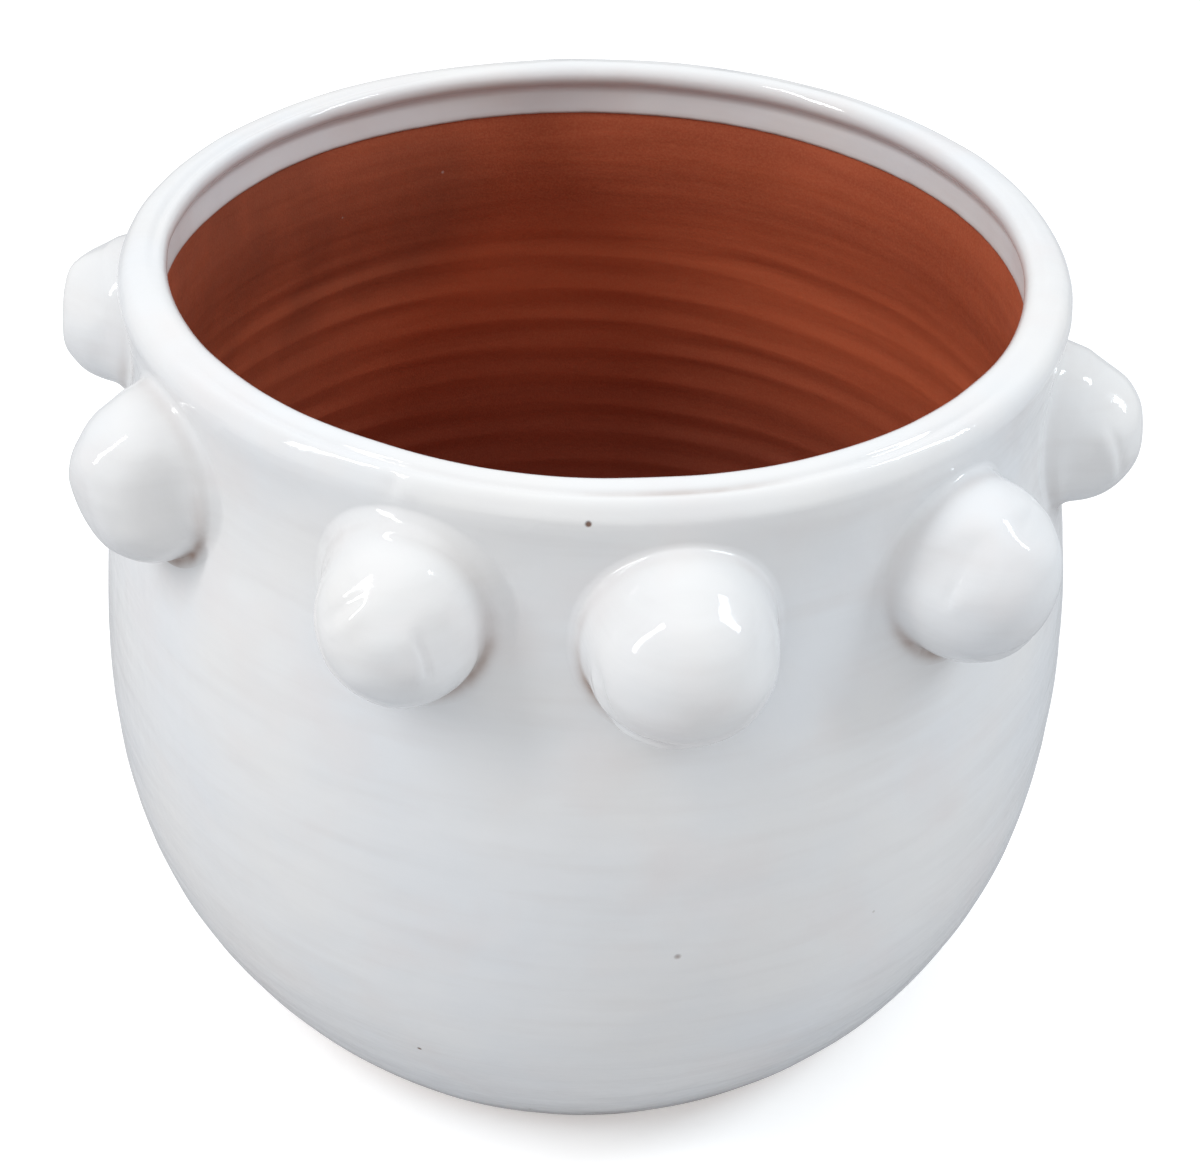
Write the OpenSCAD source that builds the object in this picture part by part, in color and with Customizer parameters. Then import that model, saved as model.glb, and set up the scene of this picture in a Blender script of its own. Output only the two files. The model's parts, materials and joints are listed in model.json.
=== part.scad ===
// Hand-thrown terracotta planter with a thick rounded rim, a white glaze on
// the outside and a belt of ten clay knobs pressed on under the rim.
// Millimetres, +Z up, origin at the centre of the foot, the front is at -Y.

/* [Pot] */
// Height from the foot to the top of the rim
pot_h = 300; // [270:5:340]
// Outer diameter of the rim
rim_d = 320; // [280:5:360]
// How far the shoulder stands out past the rim
shoulder_out = 2; // [0:0.5:4]
// Depth of the shoulder below the top of the rim
shoulder_drop = 60; // [52:1:70]
// How far the belly swells out past the shoulder
belly_out = 19.5; // [14:0.5:26]
// Height of the widest point above the foot
belly_z = 119; // [100:1:135]
// How far the foot is drawn in under the belly
foot_in = 43.5; // [34:0.5:54]
// Radius on the edge of the foot
foot_edge_r = 6; // [4:0.5:8]

/* [Rim] */
// Width of the rim, from its inner to its outer edge
rim_w = 17.5; // [15:0.5:20]
// Radius on the outer edge of the rim
rim_edge_r = 4; // [3:0.5:6]
// Radius of the bead along the inner edge of the rim
rim_bead_r = 4.5; // [3.5:0.5:6]
// How much lower the outer edge lies than the inner edge
rim_fall = 1; // [0:0.5:3]
// Radius in the corner between the bead and the wall below it
under_bead_r = 3; // [2:0.5:5]
// Radius of the hollow in the outside under the rim
neck_hollow_r = 64; // [50:1:75]

/* [Wall and floor] */
// Wall thickness at the belly
wall = 12; // [10:0.5:14]
// Wall thickness in the hollow under the rim
neck_wall = 9.5; // [8:0.5:11]
// Thickness of the floor
floor_t = 14; // [11:1:20]
// Radius between the floor and the wall, inside
floor_fillet_r = 24; // [16:1:32]
// Diameter of the drain hole in the floor
drain_d = 22; // [16:1:30]

/* [Throwing rings] */
// Depth of each finger groove inside the wall
ring_depth = 1.5; // [0.8:0.1:2]
// Width of each finger groove
ring_w = 14; // [10:0.5:16]
// Width of the crest that is left between two grooves
ring_crest = 2; // [1:0.5:5]
// Depth of the highest groove below the top of the rim
ring_drop = 86; // [75:1:100]
// Least height of a groove above the floor
ring_low = 52; // [44:1:80]

/* [Glaze] */
// Thickness of the glaze coat
glaze_t = 1; // [0.8:0.1:1.5]
// How far the glaze reaches down the inside below the bead
glaze_reach = 14; // [10:0.5:18]
// Height of bare clay left above the foot, outside
bare_foot_h = 7; // [6.5:0.5:12]

/* [Knobs] */
// Diameter of the largest clay ball
knob_d = 55; // [48:1:58]
// How far the middle of a ball lies outside the wall
knob_stand = 9; // [6:0.5:12]
// Depth of the belt of knobs below the top of the rim
knob_drop = 47; // [45:1:60]
// How far the highest knob lies above the middle of the belt
knob_rise = 6; // [0:0.5:8]
// Diameter of the clay that is smeared up the wall from the largest ball
smear_d = 46; // [42:1:52]
// How far the middle of a smear lies outside the wall
smear_stand = 2; // [0:0.5:4]
// How far the middle of a smear lies above the middle of its ball
smear_rise = 7; // [4:0.5:10]

/* [Hidden] */
$fn = 96;

terracotta = "#9c4a2f";
white_glaze = "#e9eaec";

// Most that a straight stretch of the outline strays from its arc
arc_error = 0.08;

// Each knob was set by hand. Its direction is in degrees from the front
// towards +X, its rise is a share of the highest knob's, and its size is a
// share of the largest ball.
KNOBS = [
    [10, 0, 1], [44.5, -0.2, 0.97], [78, -0.3, 0.92], [117, 0.2, 0.96], [154, -0.3, 0.98],
    [192, 0, 0.95], [230, 0.3, 0.96], [269, 0.7, 0.9], [306, 1, 0.95], [342.5, 0.6, 0.95]
];

// Heights of the shoulder, the knobs, the glaze line and the top groove
shoulder_z = pot_h - shoulder_drop;
belt_z = pot_h - knob_drop;
glaze_z = pot_h - 2 * rim_bead_r - glaze_reach;
ring_top_z = pot_h - ring_drop;

// Outer radii of the rim and the belly, and the inner radius at the belly
rim_r = rim_d / 2;
belly_r = rim_r + shoulder_out + belly_out;
inner_r = belly_r - wall;

function unit(v) = v / norm(v);
function polar(r, angle) = r * [cos(angle), sin(angle)];
function direction(a, b) = atan2(b[1] - a[1], b[0] - a[0]);

// Radius of an arc that is upright at one end and has come in by a
// distance at a height above or below that end
function upright_arc_r(height, inward) = (height ^ 2 + inward ^ 2) / (2 * inward);

// Radius of an arc that leaves a point upright and runs into a circle of
// radius r around c from outside
function upright_arc_to(point, c, r) =
    let (across = c[0] - point[0], up = c[1] - point[1])
    (across ^ 2 + up ^ 2 - r ^ 2) / (2 * (r - across));

// The point that lies ra from a and rb from b, on the right of the way
// from a to b
function apart(a, ra, b, rb) =
    let (d = norm(b - a), u = unit(b - a), along = (ra ^ 2 - rb ^ 2 + d ^ 2) / (2 * d))
    a + along * u + sqrt(ra ^ 2 - along ^ 2) * [u[1], -u[0]];

// The angle at which an arc of radius r around c reaches height z, on the
// far side from the axis or on the near one
function angle_at(c, r, z) = asin((z - c[1]) / r);
function near_angle_at(c, r, z) = 180 - angle_at(c, r, z);

// The points of an arc, both ends included
function arc(c, r, from, to) =
    let (n = ceil(abs(to - from) / (2 * acos(1 - arc_error / r))))
    [for (i = [0 : n]) c + polar(r, from + (to - from) * i / n)];

function reversed(list) = [for (i = [1 : len(list)]) list[len(list) - i]];

// Centres of the rounded edges of the rim, and the way up from both of
// them to the flat between them
edge_c = [rim_r - rim_edge_r, pot_h - rim_fall - rim_edge_r];
bead_c = [rim_r - rim_w + rim_bead_r, pot_h - rim_bead_r];
flat_up = direction(bead_c, edge_c) + acos((rim_bead_r - rim_edge_r) / norm(edge_c - bead_c));

// Arcs of the outside that meet at the belly
upper_r = upright_arc_r(shoulder_z - belly_z, belly_out);
lower_r = upright_arc_r(belly_z, foot_in);
upper_c = [belly_r - upper_r, belly_z];
lower_c = [belly_r - lower_r, belly_z];

// Centre of the hollow under the rim, which runs into the wall and the rim
neck_c = apart(upper_c, upper_r + neck_hollow_r, edge_c, rim_edge_r + neck_hollow_r);

// Arcs of the inside: the neck, the wall above the belly and below it, and
// the corner under the bead
inner_neck_r = neck_hollow_r + neck_wall;
inner_upper_r = upright_arc_to([inner_r, belly_z], neck_c, inner_neck_r);
inner_upper_c = [inner_r - inner_upper_r, belly_z];
inner_lower_r = lower_r - wall;
under_c = apart(bead_c, rim_bead_r + under_bead_r, neck_c, inner_neck_r + under_bead_r);
groove_r = upright_arc_r(ring_w / 2, ring_depth);

// Outer radius of the wall above the belly
function outer_at(z) = (upper_c + polar(upper_r, angle_at(upper_c, upper_r, z)))[0];

// The outer face from the edge of the glaze up to the flat of the rim, set
// back by inset
function outer_face(inset) = concat(
    arc(lower_c, lower_r - inset, angle_at(lower_c, lower_r - inset, bare_foot_h), 0),
    arc(upper_c, upper_r - inset, 0, direction(upper_c, neck_c)),
    arc(neck_c, neck_hollow_r + inset, direction(neck_c, upper_c) + 360, direction(neck_c, edge_c)),
    arc(edge_c, rim_edge_r - inset, direction(edge_c, neck_c), flat_up)
);

// The bead and the neck under it down to the glaze line, set back by inset
function mouth_face(inset) = concat(
    arc(bead_c, rim_bead_r - inset, flat_up, direction(bead_c, under_c) + 360),
    arc(under_c, under_bead_r + inset, direction(under_c, bead_c), direction(under_c, neck_c)),
    arc(
        neck_c, inner_neck_r - inset,
        direction(neck_c, under_c), near_angle_at(neck_c, inner_neck_r - inset, glaze_z)
    )
);

// Centre of a round corner of radius r between a level at z and the inside
// of an arc of radius arc_r around c
function corner_c(c, arc_r, z, r) =
    c + polar(arc_r - r, angle_at(c, arc_r - r, z + r));

// The bare outer face from the axis up to the edge of the glaze
function foot_face() =
    let (r = lower_r - glaze_t, c = corner_c(lower_c, r, 0, foot_edge_r))
    concat(
        [[0, 0]],
        arc(c, foot_edge_r, -90, direction(lower_c, c)),
        arc(lower_c, r, direction(lower_c, c), angle_at(lower_c, r, bare_foot_h))
    );

// One finger groove in an arc of radius r around c, from its top down
function groove(c, r, z) =
    let (lean = angle_at(c, r, z), half = asin(ring_w / 2 / groove_r))
    arc(c + polar(r + ring_depth - groove_r, lean), groove_r, lean + half, lean - half);

// Heights of the grooves, from the top one down
ring_zs = [for (z = [ring_top_z : -(ring_w + ring_crest) : floor_t + ring_low]) z];

// The bare inside from the glaze line down to the axis
function inner_face() =
    let (
        top_z = ring_zs[0] + ring_w / 2 + ring_depth,
        low_z = ring_zs[len(ring_zs) - 1] - ring_w / 2 - ring_depth,
        c = corner_c(lower_c, inner_lower_r, floor_t, floor_fillet_r)
    )
    concat(
        arc(
            neck_c, inner_neck_r,
            near_angle_at(neck_c, inner_neck_r, glaze_z), direction(neck_c, inner_upper_c) + 360
        ),
        arc(
            inner_upper_c, inner_upper_r,
            direction(inner_upper_c, neck_c), angle_at(inner_upper_c, inner_upper_r, top_z)
        ),
        [for (z = ring_zs) each z > belly_z
            ? groove(inner_upper_c, inner_upper_r, z)
            : groove(lower_c, inner_lower_r, z)],
        arc(lower_c, inner_lower_r, angle_at(lower_c, inner_lower_r, low_z), direction(lower_c, c)),
        arc(c, floor_fillet_r, direction(lower_c, c), -90),
        [[0, floor_t]]
    );

module clay_body() {
    color(terracotta)
    difference() {
        rotate_extrude() polygon(concat(foot_face(), outer_face(glaze_t), mouth_face(glaze_t), inner_face()));
        translate([0, 0, -floor_t]) cylinder(d = drain_d, h = 3 * floor_t);
    }
}

// Puts its children on the wall where a knob sits, with +X away from the pot
module on_belt(k) {
    z = belt_z + k[1] * knob_rise;
    rotate([0, 0, k[0] - 90]) translate([outer_at(z), 0, z]) children();
}

// The ball of one knob. A sphere's seam is turned towards the pot.
module ball(k) {
    on_belt(k) translate([knob_stand * k[2], 0, 0]) rotate([0, 0, 180]) sphere(d = knob_d * k[2]);
}

// The clay that is smeared from one ball up the wall
module smear(k) {
    on_belt(k) translate([smear_stand, 0, smear_rise * k[2]])
        rotate([0, 0, 180]) sphere(d = smear_d * k[2]);
}

// The clay pot with its hollow filled up to the top of the rim
module core() {
    rotate_extrude() polygon(concat(foot_face(), outer_face(glaze_t), [[0, pot_h - rim_fall - glaze_t]]));
}

module knob(k) {
    color(white_glaze)
    union() {
        difference() {
            ball(k);
            core();
        }
        difference() {
            smear(k);
            core();
        }
    }
}

module glaze_coat() {
    color(white_glaze)
    difference() {
        rotate_extrude() polygon(concat(
            outer_face(0), mouth_face(0), reversed(mouth_face(glaze_t)), reversed(outer_face(glaze_t))
        ));
        for (k = KNOBS) ball(k);
        for (k = KNOBS) smear(k);
    }
}

clay_body();
glaze_coat();
knob(KNOBS[0]);  // knob_01
knob(KNOBS[1]);  // knob_02
knob(KNOBS[2]);  // knob_03
knob(KNOBS[3]);  // knob_04
knob(KNOBS[4]);  // knob_05
knob(KNOBS[5]);  // knob_06
knob(KNOBS[6]);  // knob_07
knob(KNOBS[7]);  // knob_08
knob(KNOBS[8]);  // knob_09
knob(KNOBS[9]);  // knob_10
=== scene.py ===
"""White-glazed terracotta planter with a thick rounded rim, throwing rings and a belt of clay knobs."""
import json
import math

import bpy
import numpy as np
from mathutils import Matrix, Vector


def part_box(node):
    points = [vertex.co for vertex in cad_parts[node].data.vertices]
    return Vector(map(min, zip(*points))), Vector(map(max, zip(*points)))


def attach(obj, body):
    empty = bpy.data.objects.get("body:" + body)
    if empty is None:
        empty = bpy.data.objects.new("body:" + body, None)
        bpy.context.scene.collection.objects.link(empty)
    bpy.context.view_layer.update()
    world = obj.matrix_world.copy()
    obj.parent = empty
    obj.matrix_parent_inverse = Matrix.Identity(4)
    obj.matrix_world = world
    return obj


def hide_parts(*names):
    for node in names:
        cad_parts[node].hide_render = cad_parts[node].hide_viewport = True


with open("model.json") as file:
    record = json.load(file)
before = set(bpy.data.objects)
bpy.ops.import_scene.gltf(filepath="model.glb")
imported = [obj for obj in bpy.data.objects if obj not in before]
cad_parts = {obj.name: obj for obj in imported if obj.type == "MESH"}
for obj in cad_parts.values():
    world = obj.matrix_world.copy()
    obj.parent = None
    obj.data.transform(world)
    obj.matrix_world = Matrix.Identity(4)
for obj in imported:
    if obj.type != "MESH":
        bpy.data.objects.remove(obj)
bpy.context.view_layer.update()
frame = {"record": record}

MM = 0.001
TURN = 2 * math.pi

# The frame gives the height, the glaze and the drain hole
_, clay_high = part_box("clay_body")
glaze_low, glaze_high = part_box("glaze_coat")
drain = next(m for m in frame["record"]["mounts"] if m["name"] == "drain_hole")
POT_H = glaze_high.z
GLAZE_T = glaze_high.z - clay_high.z
BARE_FOOT_H = glaze_low.z
DRAIN_R = drain["dims"]["r_mm"] * MM
FLOOR_T = drain["dims"]["length_mm"] * MM

# The other sizes of the pot's outline
RIM_R = 158 * MM
RIM_W = 15.5 * MM
RIM_FALL = 1 * MM
EDGE_R = 6.5 * MM
BEAD_R = 4.5 * MM
UNDER_R = 5 * MM
NECK_R = 120 * MM
NECK_WALL = 11 * MM
SHOULDER_R = 162 * MM
SHOULDER_Z = POT_H - 60 * MM
BELLY_R = SHOULDER_R + 19.5 * MM
BELLY_Z = 119 * MM
FOOT_R = BELLY_R - 43.5 * MM
FOOT_EDGE_R = 6 * MM
WALL = 12 * MM
GLAZE_Z = POT_H - 2 * BEAD_R - 12.5 * MM
FLOOR_FILLET_R = 24 * MM
HOLE_EDGE_R = 1.5 * MM

# Throwing rings inside: their depth, the heights of the highest and the lowest,
# their pitch and how round they are
RING_DEPTH = 1.0 * MM
RING_TOP_Z = POT_H - 89 * MM
RING_LOW_Z = 62 * MM
RING_PITCH = 16 * MM
RING_ROUNDNESS = 1.3

# The belt of knobs: its height, the radius of the largest ball and how far its
# centre stands out of the wall, and the same of the smear behind it, which lies
# a little higher
BELT_Z = POT_H - 47 * MM
KNOB_R = 27.5 * MM
KNOB_STAND = 7.3 * MM
SMEAR_R = 20.5 * MM
SMEAR_STAND = 2 * MM
SMEAR_RISE = 5.5 * MM

# Half widths of a knob's footprint on the wall: sideways, up and down, and
# the least that is left between its top and the edge of the rim
SIDEWAYS = 32 * MM
UPWARDS = 34 * MM
DOWNWARDS = 32 * MM
RIM_SPARE = 1.5 * MM

# Columns of the pot's grids, the rings of cells round a knob where its
# footprint ends and where the grid is regular again, and the slices of a knob
COLUMNS = 512
HOLE_RING = 13
BLOCK_RING = 19
SLICES = 8 * HOLE_RING

# What keeps a division by a length or a range of zero from failing
TINY = 1e-15
TINY_RANGE = 1e-6


def unit(v):
    return v / (np.linalg.norm(v, axis=-1, keepdims=True) + TINY)


def smooth_step(x, low, high):
    t = np.clip((x - low) / (high - low), 0, 1)
    return t * t * (3 - 2 * t)


def bump_at(x, centre, width):
    return np.exp(-(((x - centre) / width) ** 2))


def smooth_min(a, b, k):
    """The lesser of two values, rounded over a range of k where they are close."""
    k = k + TINY_RANGE
    return np.minimum(a, b) - np.maximum(k - np.abs(a - b), 0) ** 2 / (4 * k)


def noise(points, size, seed):
    """Smooth gradient noise of about -1 to 1 with features of a size in metres."""
    rng = np.random.default_rng(seed)
    gradients = unit(rng.normal(size=(256, 3)))
    order = rng.permutation(256)
    scaled = points / size
    cell = np.floor(scaled).astype(int)
    part = scaled - cell
    ease = part**3 * (part * (part * 6 - 15) + 10)
    total = np.zeros(points.shape[:-1])
    for corner in np.ndindex(2, 2, 2):
        x, y, z = np.moveaxis(cell + corner, -1, 0)
        pick = order[(order[(order[x & 255] + y) & 255] + z) & 255]
        weight = np.prod(np.where(corner, ease, 1 - ease), axis=-1)
        total += weight * np.sum(gradients[pick] * (part - corner), axis=-1)
    return 1.5 * total


# Squeezes noise into soft level bands, as throwing leaves them
BANDED = (0.16, 0.16, 1)


def layers(points, *waves):
    """Noise added up in metres. Each wave has its depth and its size in millimetres, and its seed."""
    return sum(depth * MM * noise(points, size * MM, seed) for depth, size, seed in waves)


def ripples(rays, frequency, seed):
    """Soft lumps of about -1 to 1 over the directions of a ball."""
    rng = np.random.default_rng(seed)
    waves = rng.normal(size=(3, 6)) * frequency
    return np.sin(rays @ waves + rng.uniform(0, TURN, 6)).sum(-1) / 3.5


# Outline in the plane of radius and height, as arcs that run into each other


def polar(r, angle):
    return r * np.array([math.cos(angle), math.sin(angle)])


def direction(a, b):
    return math.atan2(b[1] - a[1], b[0] - a[0])


def apart(a, ra, b, rb):
    """The point ra from a and rb from b, on the right of the way from a to b."""
    d = math.dist(a, b)
    u = (b - a) / d
    along = (ra**2 - rb**2 + d**2) / (2 * d)
    return a + along * u + math.sqrt(ra**2 - along**2) * np.array([u[1], -u[0]])


def upright_arc_r(height, inward):
    """Radius of an arc that is upright at one end and comes in over a height."""
    return (height**2 + inward**2) / (2 * inward)


def angle_at(c, r, z):
    """Where an arc reaches a height on the far side from the axis."""
    return math.asin((z - c[1]) / r)


def near_angle_at(c, r, z):
    """Where an arc reaches a height on the side of the axis."""
    return math.pi - angle_at(c, r, z)


# Radii and centres: the walls above and below the belly, the rim's rounded
# edge and its bead, the hollow under the rim and the corner under the bead
UPPER_R = upright_arc_r(SHOULDER_Z - BELLY_Z, BELLY_R - SHOULDER_R)
LOWER_R = upright_arc_r(BELLY_Z, BELLY_R - FOOT_R)
UPPER_C = np.array([BELLY_R - UPPER_R, BELLY_Z])
LOWER_C = np.array([BELLY_R - LOWER_R, BELLY_Z])
EDGE_C = np.array([RIM_R - EDGE_R, POT_H - RIM_FALL - EDGE_R])
BEAD_C = np.array([RIM_R - RIM_W + BEAD_R, POT_H - BEAD_R])
FLAT_UP = direction(BEAD_C, EDGE_C) + math.acos((BEAD_R - EDGE_R) / math.dist(BEAD_C, EDGE_C))
NECK_C = apart(UPPER_C, UPPER_R + NECK_R, EDGE_C, EDGE_R + NECK_R)
INNER_NECK_R = NECK_R + NECK_WALL
UNDER_C = apart(BEAD_C, BEAD_R + UNDER_R, NECK_C, INNER_NECK_R + UNDER_R)

# The inner wall leaves the belly upright and runs into the inside of the neck
INNER_R = BELLY_R - WALL
across, up = NECK_C - (INNER_R, BELLY_Z)
INNER_UPPER_R = (across**2 + up**2 - INNER_NECK_R**2) / (2 * (INNER_NECK_R - across))
INNER_UPPER_C = np.array([INNER_R - INNER_UPPER_R, BELLY_Z])
INNER_LOWER_R = LOWER_R - WALL


def arc(c, r, start, end):
    """Points 0.1 mm apart on an arc."""
    angles = np.linspace(start, end, max(3, int(abs(end - start) * r / (0.1 * MM))))
    return c + r * np.stack([np.cos(angles), np.sin(angles)], 1)


def line(a, b):
    t = np.linspace(0, 1, max(3, int(math.dist(a, b) / (0.1 * MM))))[:, None]
    return (1 - t) * np.asarray(a) + t * np.asarray(b)


class Outline:
    """A path of arcs and lines with the clay on its left, found by the distance along it."""

    def __init__(self, *parts):
        path = np.concatenate([parts[0]] + [part[1:] for part in parts[1:]])
        steps = np.linalg.norm(np.diff(path, axis=0), axis=1)
        self.s = np.concatenate([[0], np.cumsum(steps)])
        ends = np.cumsum([len(part) - 1 for part in parts])
        self.starts = [0.0] + [float(self.s[end]) for end in ends]
        along = unit(np.gradient(path, axis=0))
        self.table = np.column_stack([path, along[:, 1], -along[:, 0]])

    def at(self, s):
        """Radius, height and the two parts of the way out of the clay at distance s."""
        return [np.interp(s, self.s, column) for column in self.table.T]

    def s_at_height(self, z, last):
        """The distance at which the path, which rises up to the end of a part, reaches a height."""
        high = np.searchsorted(self.s, self.starts[last + 1])
        return float(np.interp(z, self.table[:high, 1], self.s[:high]))


def outer_arcs(inset, foot_z, mouth_z):
    """The outside from foot_z up, over the rim and down inside to mouth_z, set back by inset."""
    edge = arc(EDGE_C, EDGE_R - inset, direction(EDGE_C, NECK_C), FLAT_UP)
    bead = arc(BEAD_C, BEAD_R - inset, FLAT_UP, direction(BEAD_C, UNDER_C) + TURN)
    mouth_r = INNER_NECK_R - inset
    return [
        arc(LOWER_C, LOWER_R - inset, angle_at(LOWER_C, LOWER_R - inset, foot_z), 0),
        arc(UPPER_C, UPPER_R - inset, 0, direction(UPPER_C, NECK_C)),
        arc(NECK_C, NECK_R + inset, direction(NECK_C, UPPER_C) + TURN, direction(NECK_C, EDGE_C)),
        edge,
        line(edge[-1], bead[0]),
        bead,
        arc(UNDER_C, UNDER_R + inset, direction(UNDER_C, BEAD_C), direction(UNDER_C, NECK_C)),
        arc(NECK_C, mouth_r, direction(NECK_C, UNDER_C), near_angle_at(NECK_C, mouth_r, mouth_z)),
    ]


# Where parts of the glaze's outline stand in its list, and the bare clay past
# each of its edges that a wave of the edge may use
LOWER_WALL, UPPER_WALL, NECK, EDGE, FLAT, MOUTH = 0, 1, 2, 3, 4, 7
FOOT_SPARE = 3 * MM
MOUTH_SPARE = 5 * MM
coat = Outline(*outer_arcs(GLAZE_T, BARE_FOOT_H - FOOT_SPARE, GLAZE_Z - MOUTH_SPARE))
coat_start = coat.s_at_height(BARE_FOOT_H, LOWER_WALL)
coat_end = coat.s[-1] - MOUTH_SPARE


def from_edge(s):
    """How far a place on the glaze lies from the nearer of its two edges."""
    return np.minimum(s - coat_start, coat_end - s)


def around(theta):
    """The way out from the axis. Theta is 0 at the front, -Y, and grows towards +X."""
    return np.stack([np.sin(theta), -np.cos(theta), np.zeros_like(theta)], -1)


def theta_of(points):
    """The direction of points, seen from the axis."""
    return np.arctan2(points[..., 0], -points[..., 1])


def turn_from(theta, start):
    """How far theta lies from a direction, the short way round."""
    return np.mod(theta - start + math.pi, TURN) - math.pi


def turned(outline, theta, s, out=0.0):
    """Points and outward directions on a turned outline, the points raised by out."""
    r, z, nr, nz = outline.at(s)
    normals = around(theta) * nr[..., None]
    normals[..., 2] = nz
    points = around(theta) * r[..., None]
    points[..., 2] = z
    return points + normals * np.asarray(out)[..., None], normals


# What the hands left: a rim that isn't quite round or level, in waves round the
# pot that each have a height in millimetres, a count and a start, and that has
# sunk a little on the whole
OUT_OF_ROUND = ((0.8, 2, 0.6), (0.6, 3, -1.1))
OUT_OF_LEVEL = ((0.7, 1, -2.0), (0.6, 2, 2.2))
SUNK = 2.0 * MM

# Marks on the rim, by how far up its rounded edge they lie: on both sides a
# crease above a swelling, and in front a lip that is set back below a thin line
# and has a pinch in it
SWELLING_AT = 9 * MM
CREASE_AT = 14.5 * MM
LIP_AT = 4 * MM
LIP_LINE = 9.8 * MM
PINCH_AT = 3 * MM
PINCH_TOWARDS = math.radians(-19.5)


def waves_round(theta, waves):
    return sum(height * MM * np.cos(count * theta + start) for height, count, start in waves)


def by_hand(points):
    """Bends the whole pot a little, the more the higher up, and leaves the foot flat."""
    theta = theta_of(points)
    rise = np.clip(points[..., 2] / POT_H, 0, 1)
    moved = points + around(theta) * (waves_round(theta, OUT_OF_ROUND) * rise)[..., None]
    moved[..., 2] += (waves_round(theta, OUT_OF_LEVEL) - SUNK) * rise**3
    return moved


def window(theta, start, end, soft):
    """1 between two directions in degrees, falling to 0 over soft degrees at each end."""
    off = np.abs(np.degrees(turn_from(theta, math.radians((start + end) / 2))))
    half = (end - start) / 2
    return 1 - smooth_step(off, half - soft, half)


def rim_marks(theta, s):
    """How far the marks stand out of the rim."""
    up = s - coat.starts[EDGE]
    crease = 0.4 * bump_at(up, SWELLING_AT, 4 * MM) - 1.4 * bump_at(up, CREASE_AT, 1.7 * MM)
    crease *= window(theta, -170, -58, 34) + 0.6 * window(theta, 58, 135, 30)
    lip = -1.4 * bump_at(up, LIP_AT, 4.5 * MM) - 0.7 * bump_at(up, LIP_LINE, 1.1 * MM)
    lip *= window(theta, -60, 60, 25)
    across = turn_from(theta, PINCH_TOWARDS) * RIM_R
    pinch = bump_at(across, 0, 2.2 * MM) - 0.7 * bump_at(across, 4.2 * MM, 3 * MM)
    pinch *= 0.8 * bump_at(up, PINCH_AT, 4 * MM)
    return MM * (crease + lip - pinch)


def coat_relief(points, theta, s):
    """How far the thrown wall stands out of its smooth outline."""
    relief = layers(points * BANDED, (0.26, 26, 11), (0.10, 8, 12))
    relief += layers(points, (0.50, 85, 13), (0.14, 17, 14))
    relief += smooth_step(s, coat.starts[EDGE], coat.starts[FLAT]) * layers(points, (0.3, 34, 15))
    relief += rim_marks(theta, s)
    return relief * smooth_step(from_edge(s), 0, 9 * MM)


# Knobs: the lumps of a ball, each with a depth and how close they come, how
# soft its facets are and how softly it runs into its smear, and the shares of
# the way to the footprint's edge over which blend and collar fade out
LUMPS = ((0.55 * MM, 2.2), (0.22 * MM, 6))
FACET_SOFT = 2.5 * MM
SMEAR_SOFT = 6 * MM
FADE = (0.82, 0.99)

# The least depth of a fold's end, so that one at a ball's very side lies in front
LEAST_DEPTH = 0.02


def on_ball(x, y):
    """The way from a ball's centre to a place seen from the front, in shares of its radius."""
    return unit(np.array([x, y, math.sqrt(max(LEAST_DEPTH, 1 - x * x - y * y))]))


def fold(ray, start, end, depth, width):
    """What a fold between two places adds to a ball's radius: a groove with a soft ridge beside it."""
    start, end = on_ball(*start), on_ball(*end)
    across = ray @ unit(np.cross(start, end)) * KNOB_R
    middle = unit(start + end)
    half = math.acos(middle @ start)
    off = np.arccos(np.clip(ray @ middle, -1, 1))
    inside = 1 - smooth_step(off, 0.55 * half, 1.15 * half)
    ridge = 0.7 * bump_at(across, -2 * width * MM, 1.8 * width * MM)
    return depth * MM * inside * (ridge - bump_at(across, 0, width * MM))


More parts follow.
